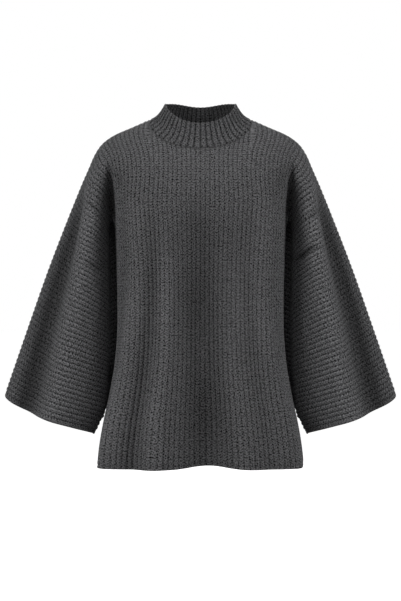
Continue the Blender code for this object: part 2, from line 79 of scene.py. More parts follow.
NECK_HALF_WIDTH = 0.101
NECK_S = 0.105
SHOULDER_Z = 0.009
UNDERARM_Z = -0.178
UNDERARM_X = 0.177
HEM_Z = -0.680
HEM_LIFT = 0.007
HEM_LIFT_S = 0.019
HEM_CORNER_LIFT = 0.003
CUFF_SAG = 0.009
CREASE_TOP_Z = -0.050
HEM_LIFT_WIDTH = 0.05
HEM_CORNER_S = 0.20
HEM_CORNER_WIDTH = 0.06
SAG_FROM_S = 0.45
SAG_OVER = 0.25
TOP_BLEND = 0.07
HALF_BODY = RIBS_HALF_BODY * RIB_PITCH
HALF_SPAN = RIBS_HALF_SPAN * RIB_PITCH

TOP_LINE = {
    "x": (0.101, 0.136, 0.170, 0.194, 0.209, 0.222, 0.244, 0.299, 0.344, 0.391),
    "z": (0.009, -0.007, -0.022, -0.039, -0.060, -0.089, -0.138, -0.278, -0.405, -0.541),
}
UNDER_LINE = {
    "x": (0.1840, 0.184, 0.183, 0.182, 0.182, 0.184, 0.190, 0.201, 0.213),
    "z": (-0.178, -0.215, -0.260, -0.350, -0.430, -0.500, -0.560, -0.592, -0.618),
}
BODY_WIDTH = {
    "z": (-0.680, -0.650, -0.590, -0.550, -0.490, -0.410, -0.350, -0.250, -0.178, 0.010),
    "half": (0.204, 0.201, 0.191, 0.182, 0.171, 0.164, 0.164, 0.167, 0.170, 0.172),
    "square": (2.9, 2.9, 2.8, 2.7, 2.6, 2.5, 2.4, 2.3, 2.3, 2.3),
}
BODY_DEPTH = {
    "z": (-0.680, -0.580, -0.460, -0.360, -0.260, -0.170, -0.100, -0.055, -0.022, 0.010),
    "front": (0.118, 0.114, 0.107, 0.105, 0.112, 0.120, 0.106, 0.085, 0.060, 0.022),
    "back": (0.110, 0.105, 0.096, 0.090, 0.096, 0.106, 0.100, 0.084, 0.060, 0.024),
}
SLEEVE_DEPTH = {
    "z": (-0.680, -0.540, -0.450, -0.350, -0.250, -0.178, -0.100, 0.010),
    "half": (0.034, 0.036, 0.040, 0.044, 0.047, 0.050, 0.052, 0.052),
}
SLEEVE_BLUNT = {"under": 0.42, "top": 0.62}
FLARE_HEIGHT = 0.006
SHOULDER_SQUARE = 2.2
SLEEVE_TUCK = 0.050
TUCK_Z = (-0.148, -0.215, -0.560, -0.600)
TUCK_SHARE = {"grows": 0.06, "ends_from": 0.10, "ends_over": 0.50}
BODY_CLEAR = 0.0065
NEAR_UNDERARM = 0.030
LEAST_SLEEVE = 0.020
BODY_INSIDE_SLEEVE_TOP = 0.030
CREASE = {
    "column": (40, 41, 42, 43, 44, 45, 46, 47, 48, 49, 50, 51, 52),
    "row": (0.237, 0.295, 0.35, 0.40, 0.447, 0.495, 0.54, 0.60, 0.665, 0.735, 0.813, 0.905, 1.0),
}
NECK_DEPTH = {"front": 0.082, "back": 0.068}
NECK_DROP = {"front": 0.061, "back": 0.016}
NECK_CURVE = {"across": 2.2, "deep": 0.9}
SEAM_FACES_UP = math.radians(40)
BODY_FOLDS = {
    "front": {
        "s_top": (0.008, -0.078, -0.125, -0.120, 0.075, 0.130, 0.118),
        "s_hem": (0.008, -0.090, -0.128, -0.188, 0.085, 0.130, 0.188),
        "width": (0.036, 0.022, 0.020, 0.022, 0.030, 0.022, 0.022),
        "out": (-0.027, 0.010, -0.007, 0.009, 0.008, -0.006, 0.009),
        "from_z": (-0.230, -0.250, -0.250, -0.120, -0.300, -0.250, -0.120),
    },
    "back": {
        "s_top": (0.000, -0.070, 0.075, -0.130, 0.135),
        "s_hem": (0.000, -0.080, 0.085, -0.140, 0.145),
        "width": (0.026, 0.024, 0.024, 0.018, 0.018),
        "out": (-0.018, 0.009, 0.009, -0.007, -0.007),
        "from_z": (-0.280, -0.300, -0.300, -0.240, -0.240),
    },
}
BODY_FOLD_GROWS = 0.8
BODY_FOLD_ENDS = 0.05
SLEEVE_FOLDS = {"at": (0.73, 0.48), "width": (0.10, 0.10), "out": (-0.009, 0.005)}
SLEEVE_FOLD_FROM_Z = -0.10
SLEEVE_FOLD_GROWS_OVER = 0.14

# Drape beyond the solid's form: across the body by s, and across a sleeve by its share, both by
# height. A negative value is a trough.
BODY_DRAPE = {
    "front": {
        "s_top": (-0.132, -0.105, -0.082, -0.010, 0.132, 0.050, -0.180),
        "s_hem": (-0.192, -0.138, -0.086, 0.006, 0.150, 0.080, -0.215),
        "width": (0.024, 0.022, 0.020, 0.042, 0.024, 0.024, 0.020),
        "out": (0.0060, -0.0038, 0.0050, -0.0085, 0.0052, 0.0016, -0.0024),
        "from_z": (-0.060, -0.160, -0.140, -0.100, -0.060, -0.200, -0.120),
        "to_z": (-0.700, -0.700, -0.700, -0.700, -0.520, -0.700, -0.560),
    },
    "back": {
        "s_top": (-0.090, 0.094, -0.030, 0.036, -0.150, 0.150),
        "s_hem": (-0.110, 0.090, -0.048, 0.060, -0.178, 0.172),
        "width": (0.022, 0.020, 0.018, 0.020, 0.016, 0.016),
        "out": (0.0060, 0.0060, -0.0060, -0.0060, -0.0040, -0.0040),
        "from_z": (-0.120, -0.140, -0.200, -0.220, -0.160, -0.160),
        "to_z": (-0.700, -0.700, -0.700, -0.700, -0.560, -0.560),
    },
}
SLEEVE_DRAPE = {
    "at_top": (0.84, 0.52),
    "at_cuff": (0.68, 0.40),
    "width": (0.15, 0.13),
    "out": (-0.0110, 0.0070),
}
FOLD_ENDS_OVER = 0.30
BODY_DRAPE_ENDS = 0.03
BODY_WANDER = {"by": 0.004, "per_metre": 19, "per_top": 40}
BODY_SWELL = {"even": 0.85, "by": 0.15, "per_metre": 31, "per_hem": 60}
SLEEVE_DRAPE_FROM_Z = -0.06
SLEEVE_DRAPE_FALL = 0.48
SLEEVE_WANDER = {"by": 0.012, "per_metre": 21, "per_side": 3}
SLEEVE_DRAPE_GROWS = 0.35
SLEEVE_DRAPE_ENDS = {"top": 0.10, "under": 0.22}

# Painted shade and highlight from the folds' height: the wool's colour is made darker in their
# hollows and lighter on their ridges
PAINTED_FOLD_SHADING = {"even": 0.85, "per_metre": 42.0, "small_counts": 1.6, "least": 0.3, "most": 1.4}

CREASE_TAPER = 0.35
# Small creases, from one end to the other as seen from the front, and their width and depth
SMALL_CREASES = {
    "front": {
        "x1": (0.181, -0.190, 0.205, -0.196, -0.150, 0.148, -0.060, 0.070),
        "z1": (-0.276, -0.300, -0.205, -0.190, -0.135, -0.140, -0.250, -0.265),
        "x2": (0.236, -0.232, 0.236, -0.226, -0.172, 0.170, -0.074, 0.082),
        "z2": (-0.242, -0.272, -0.165, -0.150, -0.090, -0.088, -0.420, -0.450),
        "width": (0.0060, 0.0080, 0.0070, 0.0060, 0.0080, 0.0080, 0.0120, 0.0120),
        "out": (-0.0055, -0.0030, -0.0032, -0.0028, -0.0020, -0.0020, 0.0018, 0.0015),
    },
    "back": {
        "x1": (0.190, -0.186, 0.150, -0.152, -0.050, 0.040),
        "z1": (-0.262, -0.280, -0.130, -0.140, -0.300, -0.330),
        "x2": (0.240, -0.238, 0.174, -0.172, -0.064, 0.056),
        "z2": (-0.226, -0.250, -0.086, -0.090, -0.480, -0.500),
        "width": (0.0070, 0.0070, 0.0080, 0.0080, 0.0120, 0.0120),
        "out": (-0.0026, -0.0022, -0.0020, -0.0020, 0.0016, 0.0018),
    },
}


def smoothstep(t):
    """0 below 0, 1 above 1, and 3 t^2 - 2 t^3 between."""
    t = np.clip(t, 0.0, 1.0)
    return t * t * (3 - 2 * t)


def smooth_through(at, xs, ys):
    """A cubic curve through the points (xs, ys), whose slopes come from the points beside each."""
    xs, ys = np.asarray(xs, float), np.asarray(ys, float)
    if xs[0] > xs[-1]:
        xs, ys = xs[::-1], ys[::-1]
    slopes = np.gradient(ys, xs)
    at = np.clip(at, xs[0], xs[-1])
    k = np.clip(np.searchsorted(xs, at) - 1, 0, len(xs) - 2)
    step = xs[k + 1] - xs[k]
    t = (at - xs[k]) / step
    return (
        (2 * t**3 - 3 * t**2 + 1) * ys[k]
        + (t**3 - 2 * t**2 + t) * step * slopes[k]
        + (3 * t**2 - 2 * t**3) * ys[k + 1]
        + (t**3 - t**2) * step * slopes[k + 1]
    )


LINE_POINTS = 400


def measured_line(line, first, last):
    """A line's points and, at each, the cloth's distance from the middle, from first to last."""
    knots = np.arange(len(line["x"]))
    fine = np.linspace(0, knots[-1], LINE_POINTS)
    x = smooth_through(fine, knots, line["x"])
    z = smooth_through(fine, knots, line["z"])
    run = np.concatenate([[0], np.cumsum(np.hypot(np.diff(x), np.diff(z)))])
    return x, z, first + (last - first) * run / run[-1]


TOP_X, TOP_Z, TOP_S = measured_line(TOP_LINE, NECK_S, HALF_SPAN)
UNDER_X, UNDER_Z, UNDER_S = measured_line(UNDER_LINE, HALF_BODY, HALF_SPAN)
BEYOND = 0.10
SLOPE_POINTS = 9
TOP_SLOPE = (TOP_X[-1] - TOP_X[-SLOPE_POINTS]) / (TOP_Z[-1] - TOP_Z[-SLOPE_POINTS])
TOP_X = np.append(TOP_X, TOP_X[-1] - BEYOND * TOP_SLOPE)
TOP_Z = np.append(TOP_Z, TOP_Z[-1] - BEYOND)
TOP_S = np.append(TOP_S, TOP_S[-1] + BEYOND * math.hypot(1, TOP_SLOPE))
LEVELS = np.linspace(SHOULDER_Z, HEM_Z, 240)
SAMPLES = 257
ARC_POINTS = 400


def at_height(z, line_z, values):
    """What a falling line's table says at height z."""
    return np.interp(-z, -line_z, values)


def body_round(half, depth, square, flare):
    """Half a body section, x = half sin(a)^(2/p), y = depth cos(a)^(2/p), p the table's "square",
    flared at the seam."""
    a = np.linspace(0, math.pi / 2, ARC_POINTS)
    x = half * np.sin(a) ** (2 / square)
    y = depth * np.maximum(np.cos(a), 0) ** (2 / square)
    return x + flare * np.exp(-((y / FLARE_HEIGHT) ** 2)), y


def sleeve_round(inner, outer, depth, flare):
    """Half a sleeve section, y = depth u^a (1 - u)^b scaled to 1: blunt below, keener on top."""
    share = (1 - np.cos(np.linspace(0, math.pi, ARC_POINTS))) / 2
    a, b = SLEEVE_BLUNT["under"], SLEEVE_BLUNT["top"]
    most = a / (a + b)
    y = depth * (share / most) ** a * ((1 - share) / (1 - most)) ** b
    flared = flare * np.exp(-((y / FLARE_HEIGHT) ** 2)) * (share < most)
    return inner + (outer - inner) * share - flared, y


def evenly(x, y):
    """The section's points at even distances along it, and its length."""
    run = np.concatenate([[0], np.cumsum(np.hypot(np.diff(x), np.diff(y)))])
    at = np.linspace(0, run[-1], SAMPLES)
    return np.stack([np.interp(at, run, x), np.interp(at, run, y)], axis=-1), run[-1]


def shoulder_height(x, reach, depth):
    """How far out the uncreased shoulder stands at x: depth (1 - (x / reach)^p)^(1/2)."""
    return depth * np.sqrt(np.clip(1 - (x / reach) ** SHOULDER_SQUARE, 0, 1))


def tucked_in(x, y, z, inner, outer, half, depth, square):
    """A sleeve's section, drawn in behind the body's side but clear of it."""
    top, full, still, low = TUCK_Z
    here = smoothstep((top - z) / (top - full)) * smoothstep((z - low) / (still - low))
    share = (x - inner) / (outer - inner)
    ending = smoothstep((share - TUCK_SHARE["ends_from"]) / TUCK_SHARE["ends_over"])
    drawn = smoothstep(share / TUCK_SHARE["grows"]) * (1 - ending)
    side_x = half * np.clip(1 - (y / depth) ** square, 0, 1) ** (1 / square) + BODY_CLEAR
    return np.maximum(x - SLEEVE_TUCK * here * drawn, np.minimum(side_x, x))


def sections(side):
    """The body's and the sleeve's section at each level, and the body's share of their length.

    Below the underarm they're two closed tubes. Above it they run into each other, and the slot
    between them grows shallower and is gone at the crease's top: y = (1 - w) shoulder + w tubes.
    """
    body, sleeve, share = [], [], []
    for z in LEVELS:
        depth = float(smooth_through(z, BODY_DEPTH["z"], BODY_DEPTH[side]))
        half = float(smooth_through(z, BODY_WIDTH["z"], BODY_WIDTH["half"]))
        square = float(smooth_through(z, BODY_WIDTH["z"], BODY_WIDTH["square"]))
        thick = float(smooth_through(z, SLEEVE_DEPTH["z"], SLEEVE_DEPTH["half"]))
        outer = float(at_height(z, TOP_Z, TOP_X))
        inner = float(at_height(z, UNDER_Z, UNDER_X))
        creased = float(smoothstep((CREASE_TOP_Z - z) / (CREASE_TOP_Z - UNDERARM_Z)))
        near = float(smoothstep((z - UNDERARM_Z + NEAR_UNDERARM) / NEAR_UNDERARM))
        inner = min(inner, outer - LEAST_SLEEVE)
        half = min(half, outer - BODY_INSIDE_SLEEVE_TOP)
        middle = min(UNDERARM_X, (inner + half) / 2)
        bx, by = body_round(half, depth, square, (middle - half) * near)
        sx, sy = sleeve_round(inner, outer, thick, (inner - middle) * near)
        if side == "back":
            sx = tucked_in(sx, sy, z, inner, outer, half, depth, square)
        by = by * creased + (1 - creased) * shoulder_height(bx, outer, depth)
        sy = sy * creased + (1 - creased) * shoulder_height(sx, outer, depth)
        points, body_length = evenly(bx, by)
        body.append(points)
        points, sleeve_length = evenly(sx, sy)
        sleeve.append(points)
        share.append(body_length / (body_length + sleeve_length))
    return np.array(body), np.array(sleeve), np.array(share)


SECTIONS = {side: sections(side) for side in ("front", "back")}


def look_up(table, z, share):
    """A table of sections read between its levels and its samples."""
    row = np.clip((LEVELS[0] - z) / (LEVELS[0] - LEVELS[-1]), 0, 1) * (len(LEVELS) - 1)
    column = np.clip(share, 0, 1) * (SAMPLES - 1)
    i = np.clip(row.astype(int), 0, len(LEVELS) - 2)
    j = np.clip(column.astype(int), 0, SAMPLES - 2)
    u, v = (row - i)[..., None], (column - j)[..., None]
    return (1 - u) * ((1 - v) * table[i, j] + v * table[i, j + 1]) + u * (
        (1 - v) * table[i + 1, j] + v * table[i + 1, j + 1]
    )


def displaced(table, z, share, out):
    """A point of a section, moved out along the section's own normal."""
    step = 0.004
    along = look_up(table, z, share + step) - look_up(table, z, share - step)
    length = np.maximum(np.linalg.norm(along, axis=-1, keepdims=True), 1e-9)
    normal = np.stack([-along[..., 1], along[..., 0]], axis=-1) / length
    return look_up(table, z, share) + normal * out[..., None]


def body_fold(s, z, side):
    """How far the soft folds move the cloth out: a bell curve across each, growing to the hem."""
    folds = BODY_FOLDS[side]
    out = np.zeros_like(s + z)
    for top, hem, width, depth, from_z in zip(
        *(folds[k] for k in ("s_top", "s_hem", "width", "out", "from_z"))
    ):
        down = np.clip((from_z - z) / (from_z - HEM_Z), 0, 1)
        at = top + (hem - top) * down
        grown = smoothstep(down) ** BODY_FOLD_GROWS
        out += depth * grown * np.exp(-(((s - at) / width) ** 2))
    return out * smoothstep((HALF_BODY - np.abs(s)) / BODY_FOLD_ENDS)


def sleeve_fold(share, z):
    """How far the folds of a sleeve move its cloth out. share is 0 at the underside."""
    out = np.zeros_like(share + z)
    for at, width, depth in zip(*(SLEEVE_FOLDS[k] for k in ("at", "width", "out"))):
        out += depth * np.exp(-(((share - at) / width) ** 2))
    return out * smoothstep((SLEEVE_FOLD_FROM_Z - z) / SLEEVE_FOLD_GROWS_OVER)


def neckline(x, side):
    """The neckline at x: like an ellipse, y = Y r^0.9 and z = Z - D r, r = (1 - (x/X)^2.2)^0.5."""
    share = np.clip(x, 0, NECK_HALF_WIDTH) / NECK_HALF_WIDTH
    rise = np.sqrt(np.clip(1 - share ** NECK_CURVE["across"], 0, 1))
    return x, NECK_DEPTH[side] * rise ** NECK_CURVE["deep"], SHOULDER_Z - NECK_DROP[side] * rise


def top_of(s, side):
    """Where the column s of the cloth starts: on the neckline, or on the shoulder or sleeve top."""
    neck_x, neck_y, neck_z = neckline(s * NECK_HALF_WIDTH / NECK_S, side)
    on_neck = s <= NECK_S
    return (
        np.where(on_neck, neck_x, np.interp(s, TOP_S, TOP_X)),
        np.where(on_neck, neck_y, 0.0),
        np.where(on_neck, neck_z, np.interp(s, TOP_S, TOP_Z)),
    )


CREASE_S = np.array(CREASE["column"]) * RIB_PITCH / 2
CREASE_Z = np.interp(CREASE_S, TOP_S, TOP_Z)
CREASE_Z = CREASE_Z + (UNDERARM_Z - CREASE_Z) * np.array(CREASE["row"])


def draped(signed_s, z, side):
    """The cloth's x and its distance from y = 0, at column s and height z."""
    s = np.abs(signed_s)
    body_table, sleeve_table, body_share = SECTIONS[side]
    s_top = at_height(z, TOP_Z, TOP_S)
    start_z, start_s = CREASE_Z[0], CREASE_S[0]
    start = start_s / at_height(start_z, TOP_Z, TOP_S) - at_height(start_z, LEVELS, body_share)
    uncreased = at_height(z, LEVELS, body_share) + start * smoothstep(z / start_z)
    above = np.where(z > start_z, s_top * uncreased, at_height(z, CREASE_Z, CREASE_S))
    s_crease = np.where(z > UNDERARM_Z, above, at_height(z, UNDER_Z, UNDER_S))
    edge = np.minimum(s_crease, HALF_BODY)
    on_body = displaced(body_table, z, s / edge, body_fold(signed_s, z, side))
    share = np.clip((s - s_crease) / np.maximum(s_top - s_crease, 1e-4), 0, 1)
    on_sleeve = displaced(sleeve_table, z, share, sleeve_fold(share, z))
    return np.where((s <= edge)[..., None], on_body, on_sleeve)


def cloth(signed_s, row, side):
    """Points of the front or back, with y counted away from the seams. row is 0 at the top edge,
    1 at the underarm's level or at the sleeve's underside, and 2 at the hem."""
    s = np.minimum(np.abs(signed_s), np.where(row > 1, HALF_BODY, HALF_SPAN + RIB_PITCH))
    signed_s = np.where(signed_s < 0, -s, s)
    top_x, top_y, top_z = top_of(s, side)
    bottom = np.where(s <= HALF_BODY, UNDERARM_Z, np.interp(s, UNDER_S, UNDER_Z))
    upper_z = top_z + (bottom - top_z) * row
    halfway = 4 * np.clip(row * (1 - row), 0, 1)
    sag = CUFF_SAG * halfway * smoothstep((s - SAG_FROM_S) / SAG_OVER)
    lift = HEM_LIFT * np.exp(-(((signed_s - HEM_LIFT_S) / HEM_LIFT_WIDTH) ** 2)) * (side == "front")
    lift += HEM_CORNER_LIFT * smoothstep((s - HEM_CORNER_S) / HEM_CORNER_WIDTH)
    lower_z = UNDERARM_Z + (HEM_Z + lift - UNDERARM_Z) * (row - 1)
    z = np.where(row > 1, lower_z, upper_z)
    flat = draped(np.where(signed_s < 0, -1, 1) * (s + sag), z, side)
    at_top = draped(signed_s, top_z, side)
    left_over = 1 - smoothstep((top_z - z) / TOP_BLEND)
    x = flat[..., 0] + (top_x - at_top[..., 0]) * left_over
    y = flat[..., 1] + (top_y - at_top[..., 1]) * left_over
    return np.stack([np.where(signed_s < 0, -x, x), np.maximum(y, SEAM_GAP / 2), z], axis=-1)


def seam_normal(points):
    """The way the seam of the neckline faces: out from the neck and up, the same for both edges."""
    out = points * (1, 1, 0)
    out /= np.maximum(np.linalg.norm(out, axis=-1, keepdims=True), 1e-9)
    return out * math.cos(SEAM_FACES_UP) + np.array([0, 0, math.sin(SEAM_FACES_UP)])


def cloth_normal(signed_s, row, side):
    """The way out of the cloth, from points a little to each side. On a seam it lies in y = 0."""
    s = np.abs(signed_s)
    across = cloth(signed_s + BESIDE, row, side) - cloth(signed_s - BESIDE, row, side)
    last_row = np.where(s > HALF_BODY + ON_LINE, 1.0, 2.0)
    first, last = np.maximum(row - ROW_BESIDE, 0), np.minimum(row + ROW_BESIDE, last_row)
    normal = np.cross(across, cloth(signed_s, last, side) - cloth(signed_s, first, side))
    on_top = (row <= 0) & (s > NECK_S + ON_LINE)
    on_under = (row == 1) & (s > HALF_BODY - ON_LINE)
    on_side = (row > 1) & (s > HALF_BODY - ON_LINE)
    normal[..., 1] = np.where(on_top | on_under | on_side, 0.0, normal[..., 1])
    at_underarm = (row == 1) & (np.abs(s - HALF_BODY) < ON_LINE)
    normal = np.where(at_underarm[..., None], np.array([0.0, 0.0, -1.0]), normal)
    on_neck = (row <= 0) & (s < NECK_S + ON_LINE)
    normal = np.where(on_neck[..., None], seam_normal(cloth(signed_s, row, side)), normal)
    return normal / np.maximum(np.linalg.norm(normal, axis=-1, keepdims=True), 1e-12)


def rib(s):
    """How far a rib stands out at s: its height times |sin(pi s / pitch)|^(2 roundness)."""
    return RIB_HEIGHT * np.abs(np.sin(math.pi * s / RIB_PITCH)) ** (2 * RIB_ROUNDNESS)


def small_creases(points, side):
    """How far the small creases move the cloth out: a bell curve about each line, tapered."""
    made = SMALL_CREASES[side]
    out = np.zeros(points.shape[:-1])
    for x1, z1, x2, z2, width, depth in zip(
        *(made[k] for k in ("x1", "z1", "x2", "z2", "width", "out"))
    ):
        dx, dz = x2 - x1, z2 - z1
        length = math.hypot(dx, dz)
        px, pz = points[..., 0] - x1, points[..., 2] - z1
        along = (px * dx + pz * dz) / length**2
        off = (px * dz - pz * dx) / length
        taper = smoothstep(along / CREASE_TAPER) * smoothstep((1 - along) / CREASE_TAPER)
        out += depth * taper * np.exp(-((off / width) ** 2))
    return out


def drape(signed_s, points, side):
    """How far the larger folds move the cloth out: a bell curve across each, which wanders and
    swells with height as a sine, fades at its start and beside the crease between body and
    sleeve, and on the body also at its end where that is above the hem."""
    s, z = np.abs(signed_s), points[..., 2]
    folds = BODY_DRAPE[side]
    body = np.zeros_like(z)
    for top, hem, width, depth, from_z, to_z in zip(
        *(folds[k] for k in ("s_top", "s_hem", "width", "out", "from_z", "to_z"))
    ):
        down = np.clip((from_z - z) / (from_z - to_z), 0, 1)
        turn = BODY_WANDER["per_metre"] * z + BODY_WANDER["per_top"] * top
        at = top + (hem - top) * down + BODY_WANDER["by"] * np.sin(turn)
        turn = BODY_SWELL["per_metre"] * z + BODY_SWELL["per_hem"] * hem
        grown = BODY_SWELL["even"] + BODY_SWELL["by"] * np.sin(turn)
        grown = grown * smoothstep(down / FOLD_ENDS_OVER)
        if to_z >= HEM_Z:
            grown = grown * smoothstep((1 - down) / FOLD_ENDS_OVER)
        body += depth * grown * np.exp(-(((signed_s - at) / width) ** 2))
    s_top = at_height(z, TOP_Z, TOP_S)
    above = at_height(z, CREASE_Z, CREASE_S)
    s_crease = np.where(z > UNDERARM_Z, above, at_height(z, UNDER_Z, UNDER_S))
    share = np.clip((s - s_crease) / np.maximum(s_top - s_crease, 1e-4), 0, 1)
    low = np.clip((SLEEVE_DRAPE_FROM_Z - z) / SLEEVE_DRAPE_FALL, 0, 1)
    turn = SLEEVE_WANDER["per_metre"] * z + SLEEVE_WANDER["per_side"] * np.sign(signed_s)
    sleeve = np.zeros_like(z)
    for top, cuff, width, depth in zip(
        *(SLEEVE_DRAPE[k] for k in ("at_top", "at_cuff", "width", "out"))
    ):
        at = top + (cuff - top) * low + SLEEVE_WANDER["by"] * np.sin(turn)
        grown = smoothstep(low / SLEEVE_DRAPE_GROWS)
        sleeve += depth * grown * np.exp(-(((share - at) / width) ** 2))
    sleeve *= smoothstep((1 - share) / SLEEVE_DRAPE_ENDS["top"])
    sleeve *= smoothstep(share / SLEEVE_DRAPE_ENDS["under"])
    on_body = s <= np.minimum(s_crease, HALF_BODY) + ON_LINE
    body *= smoothstep((np.minimum(s_crease, HALF_BODY) - s) / BODY_DRAPE_ENDS)
    return np.where(on_body, body, sleeve)


def linear(code):
    """An sRGB hex colour as linear red, green, blue and alpha."""
    parts = [int(code[i : i + 2], 16) / 255 for i in (1, 3, 5)]
    return (*[p / 12.92 if p <= 0.04045 else ((p + 0.055) / 1.055) ** 2.4 for p in parts], 1.0)


def add_node(tree, kind, links=(), **settings):
    """Adds a node, sets its properties and its sockets' values, and links its inputs."""
    node = tree.nodes.new(kind)
    for key, value in settings.items():
        if hasattr(node, key):
            setattr(node, key, value)
        else:
            node.inputs[key.replace("_", " ")].default_value = value
    for socket, source in dict(links).items():
        tree.links.new(source, node.inputs[socket])
    return node


STITCH_ROW = 0.0054
STITCH_SLOPE = 0.80
STITCH_GAP = {"power": 2.0, "depth": 0.80}
STITCH_VALLEY = {"power": 3.0, "depth": 0.75}
STITCH_SPLIT = {"power": 6.0, "depth": 0.22}
FLECKS_PER_METRE = (420.0, 300.0, 1.0)
SOFT_PER_METRE = 70.0
HEATHER = {"fine": 2.8, "soft": 0.35, "less": 1.20}
KNIT_SHADE = 0.48
FLECK_HEIGHT = 0.9


def knitted_wool(name, dark, light):
    """Charcoal wool knitted in ribs, from the cloth's own UV map, which is in metres.

    Carded wool yarn of dark and light fibres: matt, with a soft nap that catches the light at
    its edges. Wool's IOR is 1.55, and a fuzzy knit has a roughness near 0.95. The heights of the
    stitches, painted as shade where they lie low, and the tones of the flecks add up to the place
    on a ramp from dark to light.
    """
    made = bpy.data.materials.new(name)
    made.use_nodes = True
    tree = made.node_tree
    shader = tree.nodes["Principled BSDF"]
    shader.inputs["Roughness"].default_value = 0.95
    shader.inputs["IOR"].default_value = 1.55
    shader.inputs["Specular IOR Level"].default_value = 0.15
    shader.inputs["Sheen Weight"].default_value = 0.06
    shader.inputs["Sheen Roughness"].default_value = 0.4
    shader.inputs["Sheen Tint"].default_value = linear("#b9b9bd")
    uv = add_node(tree, "ShaderNodeUVMap", uv_map="knit")
    place = add_node(tree, "ShaderNodeSeparateXYZ", {0: uv.outputs["UV"]})
    across, down = place.outputs["X"], place.outputs["Y"]

    def maths(operation, first, second=None):
        node = add_node(tree, "ShaderNodeMath", operation=operation)
        for socket, value in ((0, first), (1, second)):
            if isinstance(value, (int, float)):
                node.inputs[socket].default_value = value
            elif value is not None:
                tree.links.new(value, node.inputs[socket])
        return node.outputs[0]

    def from_middle(value):
        """How far a value lies from the middle between two whole numbers, from 0 to 1."""
        off = maths("SUBTRACT", maths("FRACT", value), 0.5)
        return maths("MULTIPLY", maths("ABSOLUTE", off), 2.0)

    def hollow_of(value, shape):
        """A hollow as deep as the value to a power says."""
        return maths("MULTIPLY", maths("POWER", value, shape["power"]), shape["depth"])

    # Stitches: a column of V shapes down each rib, 10 mm wide and 5.4 mm from row to row
    from_crest = from_middle(maths("DIVIDE", across, RIB_PITCH))
    slope = maths("MULTIPLY", from_crest, STITCH_SLOPE)
    between = from_middle(maths("SUBTRACT", maths("DIVIDE", down, STITCH_ROW), slope))
    gap = hollow_of(between, STITCH_GAP)
    valley = hollow_of(from_crest, STITCH_VALLEY)
    split = hollow_of(maths("SUBTRACT", 1.0, from_crest), STITCH_SPLIT)
    knit = maths("SUBTRACT", maths("SUBTRACT", maths("SUBTRACT", 1.0, gap), valley), split)

    # Heather: fibres of a dark and a light dye, in flecks of 2.4 by 3.3 mm, which is coarser than
    # real fibres, so that they show, and soft clouds of tone 14 mm across
    flecks = add_node(
        tree, "ShaderNodeMapping", {"Vector": uv.outputs["UV"]}, Scale=FLECKS_PER_METRE
    )
    fine = add_node(
        tree, "ShaderNodeTexNoise", {"Vector": flecks.outputs[0]}, Scale=1.0, Detail=2.0
    )
    soft = add_node(
        tree, "ShaderNodeTexNoise", {"Vector": uv.outputs["UV"]}, Scale=SOFT_PER_METRE, Detail=3.0
    )
    fine_tone = maths("MULTIPLY", fine.outputs[0], HEATHER["fine"])
    soft_tone = maths("MULTIPLY", soft.outputs[0], HEATHER["soft"])
    heather = maths("SUBTRACT", maths("ADD", fine_tone, soft_tone), HEATHER["less"])
    # Painted shade: the colour is darker where the stitches lie low, in the gaps between stitches
    # and the valleys between ribs
    mixed = maths("ADD", maths("MULTIPLY", knit, KNIT_SHADE), heather)
    ramp = add_node(tree, "ShaderNodeValToRGB", {"Fac": mixed})
    ramp.color_ramp.elements[0].position = 0.10
    ramp.color_ramp.elements[0].color = linear(dark)
    ramp.color_ramp.elements[1].position = 1.00
    ramp.color_ramp.elements[1].color = linear(light)
    # Painted shade and highlight: the colour times the mesh's value "hollow", darker in the folds,
    # under and on the collar, lighter on the folds' ridges and the body's sides. Inputs 6 and 7 and
    # output 2 of a Mix node are its colours.
    hollow = add_node(tree, "ShaderNodeAttribute", attribute_name="hollow")
    shaded = add_node(
        tree,
        "ShaderNodeMix",
        {6: ramp.outputs[0], 7: hollow.outputs["Fac"]},
        data_type="RGBA",
        blend_type="MULTIPLY",
        Factor=1.0,
    )
    tree.links.new(shaded.outputs[2], shader.inputs["Base Color"])
    height = maths("ADD", knit, maths("MULTIPLY", fine.outputs[0], FLECK_HEIGHT))
    bump = add_node(tree, "ShaderNodeBump", {"Height": height}, Strength=0.7, Distance=0.0013)
    tree.links.new(bump.outputs[0], shader.inputs["Normal"])
    return made


def surface(name, points, faces, uv, light, material):
    """One smooth object from arrays of points, four-cornered faces, places in the cloth, and the
    value that each point's colour is multiplied by."""
    mesh = bpy.data.meshes.new(name)
    mesh.vertices.add(len(points))
    mesh.vertices.foreach_set("co", points.astype(np.float32).ravel())
    mesh.loops.add(faces.size)
    mesh.loops.foreach_set("vertex_index", faces.astype(np.int32).ravel())
    mesh.polygons.add(len(faces))
    mesh.polygons.foreach_set("loop_start", np.arange(0, faces.size, 4, dtype=np.int32))
    mesh.update(calc_edges=True)
    layer = mesh.uv_layers.new(name="knit")
    layer.data.foreach_set("uv", uv[faces.ravel()].astype(np.float32).ravel())
    hollow = mesh.attributes.new("hollow", "FLOAT", "POINT")
    hollow.data.foreach_set("value", light.astype(np.float32))
    mesh.materials.append(material)
    mesh.shade_smooth()
    made = bpy.data.objects.new(name, mesh)
    bpy.context.scene.collection.objects.link(made)
    return made


def grid_faces(ids):
    """The four-cornered faces of a grid of point numbers."""
    corners = [ids[:-1, :-1], ids[1:, :-1], ids[1:, 1:], ids[:-1, 1:]]
    return np.stack(corners, axis=-1).reshape(-1, 4)


